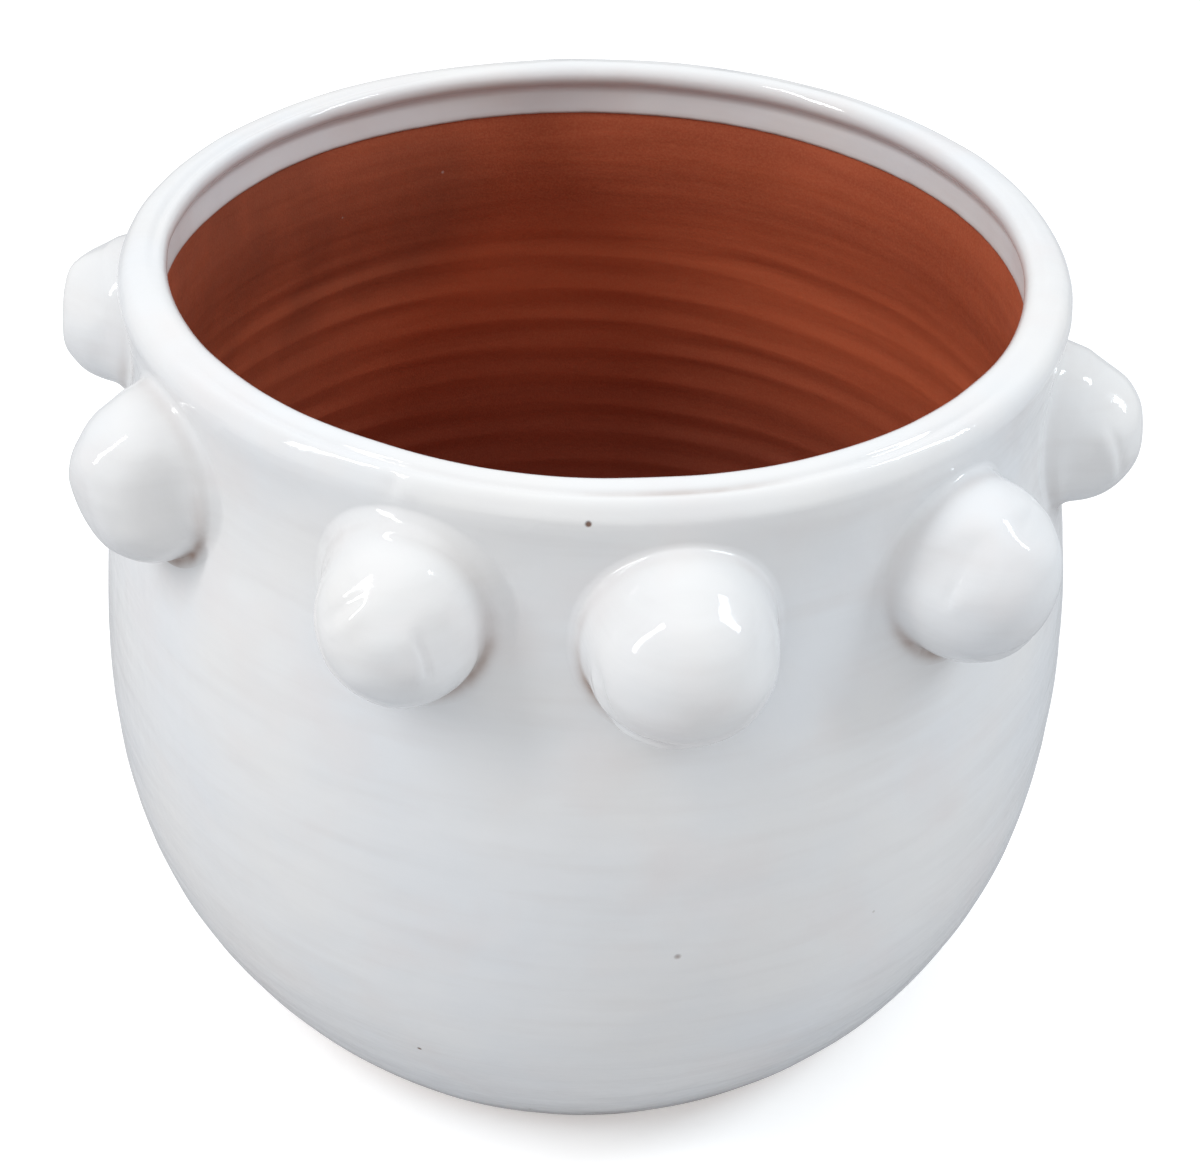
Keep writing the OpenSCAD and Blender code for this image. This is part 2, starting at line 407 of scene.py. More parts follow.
class Knob:
    """One clay ball pressed on the wall, with the clay smeared round it.

    Towards and tilt are in degrees, lengths in millimetres and size and shape in
    shares of the largest ball. Blend, which rounds the corner between ball and
    wall, and collar, the height of the smeared clay, are for the top, the sides
    and the bottom. A fold has two ends, a depth and a width. A facet has the way
    it faces and how far out it lies, as a share of the radius.
    """

    def __init__(self, node, towards, rise, size, shape=(0.93, 0.96, 0.96), tilt=0, shift=(0, 0, 0),
                 blend=(18, 12, 3.5), collar=(2.0, 1.4, 0.3), folds=(), facets=()):
        self.node = node
        self.theta = math.radians(towards)
        self.size = size
        self.shape = np.array(shape)
        self.tilt = math.radians(tilt)
        self.blend = np.array(blend) * MM
        self.collar = np.array(collar) * MM
        self.folds = folds
        self.facets = facets
        self.s = coat.s_at_height(BELT_Z + rise * MM, NECK)
        self.upwards = min(UPWARDS, coat.starts[EDGE] - RIM_SPARE - self.s)
        self.out = around(np.array(self.theta))
        self.axes = np.stack([(math.cos(self.theta), math.sin(self.theta), 0), (0, 0, 1), self.out])
        self.foot = turned(coat, np.array(self.theta), np.array(self.s), GLAZE_T)[0]
        self.ball_c = self.foot + (np.array([0, 0, KNOB_STAND * size]) + np.array(shift) * MM) @ self.axes
        self.smear_c = self.foot + np.array([0, SMEAR_RISE * size, SMEAR_STAND]) @ self.axes
        self.seed = round(towards) % 360

    def edge_at(self, phi):
        """Direction round the pot and distance along the outline of the footprint's edge."""
        rise = np.where(np.sin(phi) > 0, self.upwards, DOWNWARDS) * np.sin(phi)
        return self.theta + SIDEWAYS * np.cos(phi) / (coat.at(self.s)[0] + GLAZE_T), self.s + rise

    def ball_gap(self, points):
        """About how far points lie outside the ball and its smear."""
        away = (points - self.ball_c) @ self.axes.T
        distance = np.linalg.norm(away, axis=-1)
        ray = away / distance[..., None]
        c, s = math.cos(self.tilt), math.sin(self.tilt)
        leaning = ray @ np.array([[c, -s, 0], [s, c, 0], [0, 0, 1]])
        radius = KNOB_R * self.size
        reach = radius / np.linalg.norm(leaning / self.shape, axis=-1)
        for n, (depth, frequency) in enumerate(LUMPS):
            reach = reach + depth * ripples(ray, frequency, self.seed + n)
        gap = distance - reach - sum(fold(ray, *places) for places in self.folds)
        for normal, share in self.facets:
            plane = away @ unit(np.array(normal)) - share * radius
            gap = -smooth_min(-gap, -plane, FACET_SOFT)
        smear = np.linalg.norm(points - self.smear_c, axis=-1) - SMEAR_R * self.size
        return smooth_min(gap, smear, SMEAR_SOFT)

    def by_side(self, values, phi):
        """A value of the top, the sides and the bottom, mixed for a direction."""
        top, sides, bottom = values
        rise = np.sin(phi - self.tilt)
        return sides + np.where(rise > 0, top - sides, bottom - sides) * np.abs(rise) ** 1.5

    def gaps(self, points, phi, share=0.0):
        """How far points lie outside ball and wall, and over which range the two are blended."""
        fade = 1 - smooth_step(share, *FADE)
        wall = wall_gap(points) - self.by_side(self.collar, phi) * fade
        return self.ball_gap(points), wall, self.by_side(self.blend, phi) * fade


def wall_gap(points):
    """How far points lie outside the pot above its belly."""
    p = np.stack([np.hypot(points[..., 0], points[..., 1]), points[..., 2]], -1)
    wall = np.linalg.norm(p - UPPER_C, axis=-1) - UPPER_R
    edge = np.linalg.norm(p - EDGE_C, axis=-1) - EDGE_R
    from_neck = p - NECK_C
    angle = np.mod(np.arctan2(from_neck[..., 1], from_neck[..., 0]), TURN)
    in_neck = (angle > direction(NECK_C, EDGE_C) % TURN) & (angle < direction(NECK_C, UPPER_C) % TURN)
    return np.where(in_neck, NECK_R - np.linalg.norm(from_neck, axis=-1), np.minimum(wall, edge))


# A path down a slice of a knob: its step, the most steps, the length that a
# slope is taken over, and the halvings that find its start at the tip
STEP = 0.25 * MM
MOST_STEPS = 600
LITTLE = 0.02 * MM
HALVINGS = 30

# The points kept of a slice, and the share of them on the ball, before it meets
# the wall
SLICE_POINTS = 401
BALL_SHARE = 0.7


def slice_paths(gap, reach):
    """Paths in the planes of all slices along which a gap is 0, from the tip out past a reach."""
    low, high = np.full(SLICES, KNOB_STAND), np.full(SLICES, 3 * KNOB_R)
    for _ in range(HALVINGS):
        middle = (low + high) / 2
        inside = gap(np.stack([np.zeros(SLICES), middle], 1)) < 0
        low, high = np.where(inside, middle, low), np.where(inside, high, middle)
    p = np.stack([np.zeros(SLICES), low], 1)
    path = [p]
    while (p[:, 0] < reach).any() and len(path) < MOST_STEPS:
        here = gap(p)
        slope = np.stack([gap(p + (LITTLE, 0)) - here, gap(p + (0, LITTLE)) - here], 1) / LITTLE
        size = np.linalg.norm(slope, axis=1, keepdims=True)
        p = p + STEP * np.stack([slope[:, 1], -slope[:, 0]], 1) / size
        p = p - slope / size**2 * gap(p)[:, None]
        path.append(p)
    return np.stack(path, 1)


def knob_slices(knob):
    """Curves from a knob's tip to its edge, as points and the brown of thin glaze and painted shade on each.
    """
    phi = np.arange(SLICES) * TURN / SLICES
    edge, _ = turned(coat, *knob.edge_at(phi), GLAZE_T)
    to_edge = edge - knob.foot
    side = to_edge - (to_edge @ knob.out)[:, None] * knob.out
    reach = np.linalg.norm(side, axis=-1)
    side = side / reach[:, None]

    def place(p, side):
        return knob.foot + p[:, :1] * side + p[:, 1:] * knob.out

    def gap(p):
        return smooth_min(*knob.gaps(place(p, side), phi, p[:, 0] / reach))

    table = np.empty((SLICES, SLICE_POINTS, 4))
    for n, path in enumerate(slice_paths(gap, reach)):
        last = int(np.argmax(path[:, 0] >= reach[n]))
        before, after = path[last - 1], path[last]
        share = (reach[n] - before[0]) / (after[0] - before[0])
        curve = np.vstack([path[:last], before + share * (after - before)])
        along = np.concatenate([[0], np.cumsum(np.linalg.norm(np.diff(curve, axis=0), axis=1))])
        ball, wall, _ = knob.gaps(place(curve, side[n]), phi[n])
        further = ball - wall
        past = int(np.argmax(further > 0))
        meeting = np.interp(0, further[past - 1:past + 1], along[past - 1:past + 1])
        wanted = np.interp(np.linspace(0, 1, SLICE_POINTS), (0, BALL_SHARE, 1), (0, meeting, along[-1]))
        curve = np.stack([np.interp(wanted, along, curve[:, k]) for k in (0, 1)], 1)
        table[n, :, :3] = place(curve, side[n])
    ball, wall, _ = knob.gaps(table[..., :3], phi[:, None])
    # Brown in the crease where ball and wall meet: thin glaze there, and painted shade that is strongest
    # under the ball
    shade_below = 0.2 + 0.8 * smooth_step(-np.sin(phi), -0.5, 0.6)[:, None]
    table[..., 3] = shade_below * bump_at(ball, 1.0 * MM, 2.6 * MM) * bump_at(wall, 0, 2.2 * MM)
    return table


# Meshes


def square_ring(n):
    """The corners on ring n of a square block of cells, and their directions."""
    k = np.arange(-n, n)
    side = np.full(2 * n, n)
    corners = np.concatenate([
        np.stack([side, k], 1),
        np.stack([-k, side], 1),
        np.stack([-side, -k], 1),
        np.stack([k, -side], 1),
    ])
    return np.roll(corners, -n, axis=0), np.arange(8 * n) * TURN / (8 * n)


def grid_faces(rows, columns, wrap=False):
    j, i = np.meshgrid(np.arange(rows - 1), np.arange(columns if wrap else columns - 1), indexing="ij")
    k = (i + 1) % columns
    corners = [j * columns + i, j * columns + k, (j + 1) * columns + k, (j + 1) * columns + i]
    return np.stack(corners, -1).reshape(-1, 4)


def ring_faces(a, b):
    """Quads between two closed loops of as many points."""
    return np.stack([a, np.roll(a, -1), np.roll(b, -1), b], -1)


class Piece:
    """Points and groups of quads. A group is smooth in itself and has a crisp edge to the next."""

    def __init__(self, name):
        self.name = name
        self.points = np.zeros((0, 3))
        self.groups = []
        self.sums = {}
        self.values = {}

    def add_points(self, points, **values):
        """Adds points, bent as the whole pot is, and returns their numbers."""
        start = len(self.points)
        self.points = np.concatenate([self.points, by_hand(points).reshape(-1, 3)])
        for key, value in values.items():
            old = self.values.get(key, np.zeros(0))
            padding = np.zeros(start - len(old))
            self.values[key] = np.concatenate([old, padding, value.ravel()])
        return np.arange(start, len(self.points)).reshape(points.shape[:-1])

    def add_group(self, *faces):
        self.groups.append(np.concatenate(faces))

    def normal_sums(self, group):
        """The normals of a group's faces added up at each point, by area."""
        if group not in self.sums:
            faces = self.groups[group]
            corner = self.points[faces]
            normals = np.cross(corner[:, 2] - corner[:, 0], corner[:, 3] - corner[:, 1])
            total = np.empty_like(self.points)
            for axis in range(3):
                weights = np.repeat(normals[:, axis], 4)
                total[:, axis] = np.bincount(faces.ravel(), weights, len(self.points))
            self.sums[group] = total
        return self.sums[group]

    def build(self, material, slot, *nodes):
        faces = np.concatenate(self.groups)
        normals = [unit(self.normal_sums(n))[group].reshape(-1, 3) for n, group in enumerate(self.groups)]
        used = np.unique(faces)
        number = np.zeros(len(self.points), int)
        number[used] = np.arange(len(used))
        mesh = bpy.data.meshes.new(self.name)
        mesh.vertices.add(len(used))
        mesh.vertices.foreach_set("co", self.points[used].astype(np.float32).ravel())
        mesh.loops.add(faces.size)
        mesh.loops.foreach_set("vertex_index", number[faces].astype(np.int32).ravel())
        mesh.polygons.add(len(faces))
        mesh.polygons.foreach_set("loop_start", np.arange(0, faces.size, 4, dtype=np.int32))
        mesh.update(calc_edges=True)
        mesh.validate()
        mesh.shade_smooth()
        mesh.normals_split_custom_set(np.concatenate(normals).astype(np.float32))
        for key, values in self.values.items():
            padded = np.concatenate([values, np.zeros(len(self.points) - len(values))])
            layer = mesh.attributes.new(key, "FLOAT", "POINT")
            layer.data.foreach_set("value", padded[used].astype(np.float32))
        mesh.materials.append(material)
        made = bpy.data.objects.new(self.name, mesh)
        bpy.context.scene.collection.objects.link(made)
        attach(made, "root")
        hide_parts(*nodes)


def spaced(start, end, step):
    """Distances from start up to end, end left out, about a step apart."""
    return np.linspace(start, end, max(1, round((end - start) / step)), endpoint=False)


# How much of the glaze's thickness is left at its edge, and how fast it grows
LIP_LEAST = 0.12
LIP_W = 1.3 * MM

# The ring on which the waves of the glaze's two edges are drawn
WAVE_RING_R = 100 * MM

# Rows of the glaze's grid: the fine ones in from its edges, where the others
# start at the foot and end at the mouth, and the steps of those up the wall,
# over the rim and down the mouth
EDGE_ROWS = np.array([0, 0.15, 0.4, 0.8, 1.4]) * MM
FIRST_ROW = 2 * MM
LAST_ROW = 1.8 * MM
WALL_STEP = 2 * MM
RIM_STEP = 0.6 * MM
MOUTH_STEP = 1 * MM


def coat_points(theta, s, out):
    """Points of the glaze's grid, as far out of the clay as out, with their wavy edges."""
    to_mouth = smooth_step(s, coat.starts[MOUTH] - 2 * MM, coat_end)
    to_foot = 1 - smooth_step(s, coat_start, coat_start + 12 * MM)
    ring = around(theta) * WAVE_RING_R
    waved = s + to_mouth * layers(ring, (0.8, 45, 21)) + to_foot * layers(ring, (1.2, 25, 22))
    base, normals = turned(coat, theta, waved)
    t = np.clip(1 - from_edge(s) / LIP_W, 0, 1)
    lip = np.maximum(np.sqrt(1 - t * t), LIP_LEAST)
    return base + normals * (coat_relief(base, theta, s) + out * lip)[..., None]


def coat_grid(knobs):
    """Directions and distances of the glaze's grid, the loops round its openings, and the cells it fills."""
    rows = np.concatenate([
        coat_start + EDGE_ROWS,
        spaced(coat_start + FIRST_ROW, coat.starts[EDGE], WALL_STEP),
        spaced(coat.starts[EDGE], coat.starts[MOUTH], RIM_STEP),
        spaced(coat.starts[MOUTH], coat_end - LAST_ROW, MOUTH_STEP),
        coat_end - EDGE_ROWS[::-1],
    ])
    theta, s = np.meshgrid(np.arange(COLUMNS) * TURN / COLUMNS, rows)
    closed = np.ones((len(rows) - 1, COLUMNS), bool)
    loops = []
    for knob in knobs:
        ic = round(knob.theta / TURN * COLUMNS)
        jc = int(np.argmin(np.abs(rows - knob.s)))
        for n in range(HOLE_RING, BLOCK_RING):
            corners, phi = square_ring(n)
            hole_theta, hole_s = knob.edge_at(phi)
            far = corners * BLOCK_RING / n
            far_theta = (ic + far[:, 0]) * TURN / COLUMNS
            far_s = np.interp(jc + far[:, 1], np.arange(len(rows)), rows)
            t = (n - HOLE_RING) / (BLOCK_RING - HOLE_RING)
            j, i = jc + corners[:, 1], (ic + corners[:, 0]) % COLUMNS
            theta[j, i] = hole_theta + t * (far_theta - hole_theta)
            s[j, i] = hole_s + t * (far_s - hole_s)
            if n == HOLE_RING:
                loops.append(j * COLUMNS + i)
        for dj in range(-HOLE_RING, HOLE_RING):
            closed[jc + dj, np.arange(ic - HOLE_RING, ic + HOLE_RING) % COLUMNS] = False
    return theta, s, loops, closed


def add_disc(piece, table, core_share, shares, flip=False):
    """Adds a disc of quads, a square core and then rings at shares of the way out, and returns its edge."""

    def sample(share, turn):
        """The table of slices a share of the way out and a turn round, mixed from its neighbours."""
        place = turn / TURN * SLICES
        a = np.floor(place).astype(int)
        w = (place - a)[..., None]
        along = share * (table.shape[1] - 1)
        b = np.minimum(np.floor(along).astype(int), table.shape[1] - 2)
        v = (along - b)[..., None]
        a, c = a % SLICES, (a + 1) % SLICES
        first = (1 - v) * table[a, b] + v * table[a, b + 1]
        return (1 - w) * first + w * ((1 - v) * table[c, b] + v * table[c, b + 1])

    size = 2 * HOLE_RING + 1
    turn = np.zeros((size, size))
    share = np.zeros((size, size))
    for n in range(1, HOLE_RING + 1):
        corners, phi = square_ring(n)
        at = (corners[:, 1] + HOLE_RING, corners[:, 0] + HOLE_RING)
        turn[at] = phi
        share[at] = core_share * n / HOLE_RING
    core = sample(share, turn)
    outer = sample(*np.meshgrid(shares, phi, indexing="ij"))
    core_ids = piece.add_points(core[..., :3], thin=core[..., 3])
    ring_ids = piece.add_points(outer[..., :3], thin=outer[..., 3])
    loops = [core_ids[at], *ring_ids]
    faces = [core_ids.ravel()[grid_faces(size, size)]]
    faces += [ring_faces(b, a) for a, b in zip(loops[:-1], loops[1:])]
    faces = np.concatenate(faces)
    piece.add_group(faces[:, ::-1] if flip else faces)
    return ring_ids[-1]


def onto_clay(points):
    """Moves points along the way out from the axis onto the clay under the glaze."""
    rising = (coat.s > coat.starts[UPPER_WALL]) & (coat.s < coat.starts[EDGE] + 2 * MM)
    rows = coat.table[rising]
    moved = around(theta_of(points)) * np.interp(points[..., 2], rows[:, 1], rows[:, 0])[..., None]
    moved[..., 2] = points[..., 2]
    return moved


# The square core of a knob's front as a share of its slices, and the rings of
# cells from there to the wall and on to its edge, then the same of its back
FRONT_CORE = 0.33
BALL_RINGS = 17
WALL_RINGS = 16
BACK_CORE = 0.5
BACK_RINGS = 4
BACK_POINTS = 41


def rings_between(start, end, count):
    """Shares from start to end in a count of steps, start left out."""
    return np.linspace(start, end, count + 1)[1:]


def knob_piece(knob, outer_loop, inner_loop):
    """One knob as a closed solid, edge to edge with the opening in the glaze."""
    table = knob_slices(knob)
    fade = smooth_step(np.linspace(0, 1, SLICE_POINTS), BALL_SHARE, 1)[None, :, None]
    table[..., :3] += (outer_loop - table[:, -1, :3])[:, None] * fade
    piece = Piece(knob.node + "_ball")
    shares = [rings_between(FRONT_CORE, BALL_SHARE, BALL_RINGS), rings_between(BALL_SHARE, 1, WALL_RINGS)]
    front = add_disc(piece, table, FRONT_CORE, np.concatenate(shares))

    middle = inner_loop.mean(0)
    back_table = np.zeros((SLICES, BACK_POINTS, 4))
    t = np.linspace(0, 1, BACK_POINTS)[None, :, None]
    back_table[..., :3] = onto_clay(middle + (inner_loop[:, None] - middle) * t)
    back_table[:, -1, :3] = inner_loop
    back = add_disc(piece, back_table, BACK_CORE, rings_between(BACK_CORE, 1, BACK_RINGS), flip=True)
    piece.add_group(ring_faces(back, front))
    return piece, front


def glaze_and_knobs(knobs, material):
    """The glaze coat with its openings, and the knobs that fill them."""
    theta, s, loops, closed = coat_grid(knobs)
    outer = coat_points(theta, s, GLAZE_T)
    inner = coat_points(theta, s, 0.0)
    coat_piece = Piece("glaze_skin")
    # Painted shade: a brown line along the crease of the front lip, added to the brown where the glaze is
    # thin at its edges
    lip_shade = bump_at(s - coat.starts[EDGE], LIP_LINE, 0.8 * MM) * window(theta, -4, 24, 10)
    thin = 1 - smooth_step(from_edge(s), 0.2 * MM, 2.0 * MM) + 0.4 * lip_shade
    outer_ids = coat_piece.add_points(outer, thin=thin).ravel()
    inner_ids = coat_piece.add_points(inner).ravel()
    faces = grid_faces(len(s), COLUMNS, wrap=True)[closed.ravel()]
    coat_piece.add_group(outer_ids[faces])
    coat_piece.add_group(inner_ids[faces][:, ::-1])
    first = np.arange(COLUMNS)
    last = first + (len(s) - 1) * COLUMNS
    coat_piece.add_group(
        ring_faces(inner_ids[first], outer_ids[first]),
        ring_faces(outer_ids[last], inner_ids[last]),
        *[ring_faces(outer_ids[loop], inner_ids[loop]) for loop in loops],
    )
    coat_sums = coat_piece.normal_sums(0)
    outer, inner = outer.reshape(-1, 3), inner.reshape(-1, 3)
    for knob, loop in zip(knobs, loops):
        piece, border = knob_piece(knob, outer[loop], inner[loop])
        shared = coat_sums[outer_ids[loop]] + piece.normal_sums(0)[border]
        coat_sums[outer_ids[loop]] = shared
        piece.normal_sums(0)[border] = shared
        piece.build(material, "glaze", knob.node)
    coat_piece.build(material, "glaze", "glaze_coat")


def corner_c(c, arc_r, z, r):
    """Centre of a round corner between a level at z and the inside of an arc."""
    return c + polar(arc_r - r, angle_at(c, arc_r - r, z + r))


def ring_relief(points, theta):
    """Depth of the finger grooves inside, which climb one pitch in each turn."""
    z = points[..., 2]
    wander = layers(points * (0.25, 0.25, 1), (5, 46, 31))
    turns = (RING_TOP_Z - z + wander) / RING_PITCH + theta / TURN
    groove = np.abs(np.sin(math.pi * turns)) ** RING_ROUNDNESS
    depth = RING_DEPTH * (0.75 + 0.7 * noise(points * (0.3, 0.3, 1), 24 * MM, 32))
    reach = smooth_step(z, RING_LOW_Z - 8 * MM, RING_LOW_Z + 12 * MM)
    reach = reach * (1 - smooth_step(z, RING_TOP_Z - 2 * MM, RING_TOP_Z + 16 * MM))
    return -depth * groove * reach


# How deep the clay lies hidden under the glaze, and how far it stays bare past
# the glaze's edges: above the foot and under the mouth, and up to where it is
# hidden at full depth
HIDDEN = GLAZE_T + 1.5 * MM
FOOT_BARE = 7 * MM
FOOT_HIDDEN = 9 * MM
MOUTH_BARE = 4 * MM
MOUTH_HIDDEN = 6 * MM

# The parts of the clay's outline where the floor's fillet, the floor and the
# drain hole start, and the steps along the arcs under the glaze in millimetres
FILLET, FLOOR, HOLE = 3, 4, 5
HIDDEN_STEPS = (6, 6, 4, 1, 3, 1, 1, 1)


def clay_parts():
    """Steps and parts of the clay's outline, down inside, out under the floor and up under the glaze."""
    skin = LOWER_R - GLAZE_T
    inner = INNER_LOWER_R + GLAZE_T
    fillet_c = corner_c(LOWER_C, inner, FLOOR_T, FLOOR_FILLET_R)
    foot_c = corner_c(LOWER_C, skin, 0, FOOT_EDGE_R)
    hole_top = np.array([DRAIN_R + HOLE_EDGE_R, FLOOR_T - HOLE_EDGE_R])
    hole_foot = np.array([DRAIN_R + HOLE_EDGE_R, HOLE_EDGE_R])
    mouth_r = INNER_NECK_R - GLAZE_T
    mouth_angle = near_angle_at(NECK_C, mouth_r, GLAZE_Z + MOUTH_BARE)
    band_angle = angle_at(LOWER_C, skin, BARE_FOOT_H + FOOT_BARE)
    hidden_arcs = outer_arcs(HIDDEN, BARE_FOOT_H + FOOT_HIDDEN, GLAZE_Z + MOUTH_HIDDEN)
    return [
        (1, arc(NECK_C, mouth_r, mouth_angle, direction(NECK_C, INNER_UPPER_C) + TURN)),
        (1, arc(INNER_UPPER_C, INNER_UPPER_R + GLAZE_T, direction(INNER_UPPER_C, NECK_C), 0)),
        (1, arc(LOWER_C, inner, 0, direction(LOWER_C, fillet_c))),
        (1, arc(fillet_c, FLOOR_FILLET_R, direction(LOWER_C, fillet_c), -TURN / 4)),
        (3, line(fillet_c - (0, FLOOR_FILLET_R), hole_top + (0, HOLE_EDGE_R))),
        (0.4, arc(hole_top, HOLE_EDGE_R, TURN / 4, TURN / 2)),
        (2, line(hole_top - (HOLE_EDGE_R, 0), hole_foot - (HOLE_EDGE_R, 0))),
        (0.4, arc(hole_foot, HOLE_EDGE_R, TURN / 2, 3 * TURN / 4)),
        (3, line(hole_foot - (0, HOLE_EDGE_R), foot_c - (0, FOOT_EDGE_R))),
        (0.8, arc(foot_c, FOOT_EDGE_R, -TURN / 4, direction(LOWER_C, foot_c))),
        (1, arc(LOWER_C, skin, direction(LOWER_C, foot_c), band_angle)),
        (1, line(LOWER_C + polar(skin, band_angle), hidden_arcs[0][0])),
        *zip(HIDDEN_STEPS, hidden_arcs),
        (1, line(hidden_arcs[-1][-1], NECK_C + polar(mouth_r, mouth_angle))),
    ]


def clay_piece(material):
    """The thrown pot: ringed inside, with a floor, a drain hole and a bare foot."""
    steps, paths = zip(*clay_parts())
    outline = Outline(*paths)
    ends = zip(outline.starts[:-1], outline.starts[1:], steps)
    rows = np.concatenate([spaced(start, end, step * MM) for start, end, step in ends])
    theta, s = np.meshgrid(np.arange(COLUMNS) * TURN / COLUMNS, rows)
    base, normals = turned(outline, theta, s)
    on_wall = 1 - smooth_step(s, outline.starts[FILLET], outline.starts[FLOOR])
    inside = smooth_step(s, 0, 10 * MM) * (s < outline.starts[HOLE])
    relief = ring_relief(base, theta) * on_wall
    relief += inside * layers(base * BANDED, (0.22, 22, 33), (0.18, 6, 34))
    relief += inside * layers(base, (0.25, 60, 35))
    piece = Piece("thrown_pot")
    ids = piece.add_points(base + normals * relief[..., None], groove=relief / MM)
    piece.add_group(ids.ravel()[grid_faces(len(rows), COLUMNS, wrap=True)])
    piece.add_group(ring_faces(ids[-1], ids[0]))
    piece.build(material, "clay", "clay_body")


# Materials


class Nodes:
    """The shader nodes of a material or a world."""

    def __init__(self, tree):
        self.tree = tree

    def put(self, node, key, value):
        """Sets an input of a node to a value, or links it to the output of another."""
        if isinstance(value, bpy.types.NodeSocket):
            self.tree.links.new(value, node.inputs[key])
        else:
            node.inputs[key].default_value = value

    def node(self, kind, inputs=(), **settings):
        made = self.tree.nodes.new("ShaderNode" + kind)
        for key, value in settings.items():
            setattr(made, key, value)
        for key, value in dict(inputs).items():
            self.put(made, key, value)
        return made

    def math(self, operation, a, b):
        return self.node("Math", {0: a, 1: b}, operation=operation).outputs[0]

    def range(self, value, low, high, to_low=0.0, to_high=1.0):
        """A value carried from one range to another, and held inside it."""
        inputs = {"Value": value, "From Min": low, "From Max": high, "To Min": to_low, "To Max": to_high}
        return self.node("MapRange", inputs).outputs[0]


class Material(Nodes):
    """A material made of nodes around one Principled shader."""

    def __init__(self, name, **shader):
        self.made = bpy.data.materials.new(name)
        self.made.use_nodes = True
        super().__init__(self.made.node_tree)
        self.shader = self.tree.nodes["Principled BSDF"]
        self.where = self.node("TexCoord").outputs["Object"]
        for key, value in shader.items():
            self.put(self.shader, key.replace("_", " "), value)

    def noise(self, size, detail=3.0, squeeze=(1, 1, 1)):
        """Noise of 0 to 1 with features of a size in metres."""
        mapped = self.node("Mapping", {"Vector": self.where, "Scale": squeeze})
        inputs = {"Vector": mapped.outputs[0], "Scale": 1 / size, "Detail": detail}
        return self.node("TexNoise", inputs).outputs["Fac"]

    def attribute(self, name):
        return self.node("Attribute", attribute_name=name).outputs["Fac"]

    def mix(self, factor, a, b):
        """Colour a carried towards b by a factor, through the inputs 6 and 7, which take colours."""
        a, b = ((*colour, 1) if isinstance(colour, tuple) else colour for colour in (a, b))
        return self.node("Mix", {0: factor, 6: a, 7: b}, data_type="RGBA").outputs[2]

    def specks(self, spacing, radius, share):
        """1 in round specks, of which a share of all cells of a spacing has one."""
        cells = self.node("TexVoronoi", {"Vector": self.where, "Scale": 1 / spacing, "Randomness": 1.0})
        near = self.range(cells.outputs["Distance"], radius / spacing, 0.6 * radius / spacing)
        chance = self.node("SeparateColor", {0: cells.outputs["Color"]}).outputs[0]
        return self.math("MULTIPLY", near, self.math("GREATER_THAN", chance, 1 - share))

    def spots(self, places):
        """1 in spots, which are places with a direction, a height, a distance from the axis and a radius."""
        total = 0.0
        for towards, z, r, radius in places:
            x, y, _ = around(np.array(math.radians(towards))) * r * MM
            away = self.node("VectorMath", {0: self.where, 1: (x, y, z * MM)}, operation="DISTANCE")
            spot = self.range(away.outputs["Value"], radius * MM, 0.5 * radius * MM)
            total = self.math("MAXIMUM", spot, total)
        return total

    def bump(self, *bumps):
        """Stacks bumps, each a height of 0 to 1 with its depth in metres."""
        normal = None
        for height, depth in bumps:
            made = self.node("Bump", {"Height": height, "Distance": depth})
            if normal:
                self.put(made, "Normal", normal)
            normal = made.outputs[0]
        self.put(self.shader, "Normal", normal)


# Pinholes in the glaze, and splashes on the clay and smudges of painted shade
# over the left of the inside. Each has its direction from the front in degrees,
# and its height, its distance from the axis and its radius in millimetres
PINHOLES = [
    (0.5, 290, 158, 1.1), (10.8, 141.2, 180.2, 1.9), (32.6, 136.9, 180.4, 1.2), (-4.2, 33.2, 160.5, 1.0),
    (-15.9, 79.3, 177.5, 0.9), (56.8, 189, 175, 0.9), (-33, 262, 156, 0.7), (24, 245, 160, 0.6),
]
SPLASHES = [
    (-153.1, 254.7, 146.5, 1.5), (-135.3, 245, 148.5, 0.9), (-135.8, 238, 150, 1.0),
    (-156.8, 230.3, 151.5, 0.8),
]
SHADE_SMUDGES = [(-112, 232, 156, 115), (-142, 235, 156, 60)]

# Colours of the glaze: its patches, the drag of the throwing, a blush of the
# clay, brown where it is thin and as painted shade round the knobs and along the front lip, and pinholes
COOL_WHITE = (0.80, 0.82, 0.845)
WARM_WHITE = (0.83, 0.83, 0.83)
DRAG = (0.70, 0.675, 0.67)
BLUSH = (0.80, 0.745, 0.735)
BROWN = (0.34, 0.23, 0.18)
PINHOLE = (0.20, 0.12, 0.09)

# Colours of the clay: its patches and bands, painted light on the zone of the rings,
# painted shade in the grooves, grains, smudges of painted shade, painted shade in the depth of the pot, its
# bare underside, and splashes
RED = (0.44, 0.085, 0.031)
ORANGE = (0.54, 0.115, 0.046)
BAND = (0.36, 0.065, 0.028)
PAINTED_LIGHT_RINGS = (0.78, 0.18, 0.07)
GROOVE_SHADE = (0.24, 0.045, 0.02)
GRAIN = (0.62, 0.2, 0.09)
SHADE_SMUDGE = (0.17, 0.045, 0.022)
DEPTH_SHADE = (0.2, 0.05, 0.03)
UNDERSIDE = (0.42, 0.34, 0.3)
SPLASH = (0.85, 0.83, 0.80)


